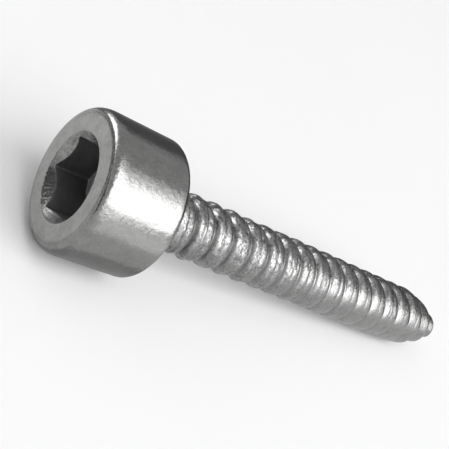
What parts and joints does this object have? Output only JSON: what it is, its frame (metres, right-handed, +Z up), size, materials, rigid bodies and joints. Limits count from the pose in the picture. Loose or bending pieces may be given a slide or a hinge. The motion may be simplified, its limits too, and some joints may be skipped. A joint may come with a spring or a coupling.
{
  "type": "socket head self-tapping screw",
  "caption": "Cylindrical cap head with a hexagon socket on a fully threaded shank: coarse right-hand thread with broad rounded crests, running out over a blunt bulging point.",
  "frame": {"origin": "middle of the footprint, on the surface that the screw lies on", "axes": "+Z up, +X from the head towards the tip (the screw's own axis dips 4.83 degrees below +X), +Y to the left of the tip"},
  "size_m": [0.0412, 0.01, 0.0104],
  "materials": {
    "steel": "tumbled bare steel, satin on the head, brighter and scuffed on the rolled thread"
  },
  "bodies": {
    "root": {"screw": "steel"}
  },
  "joints": []
}
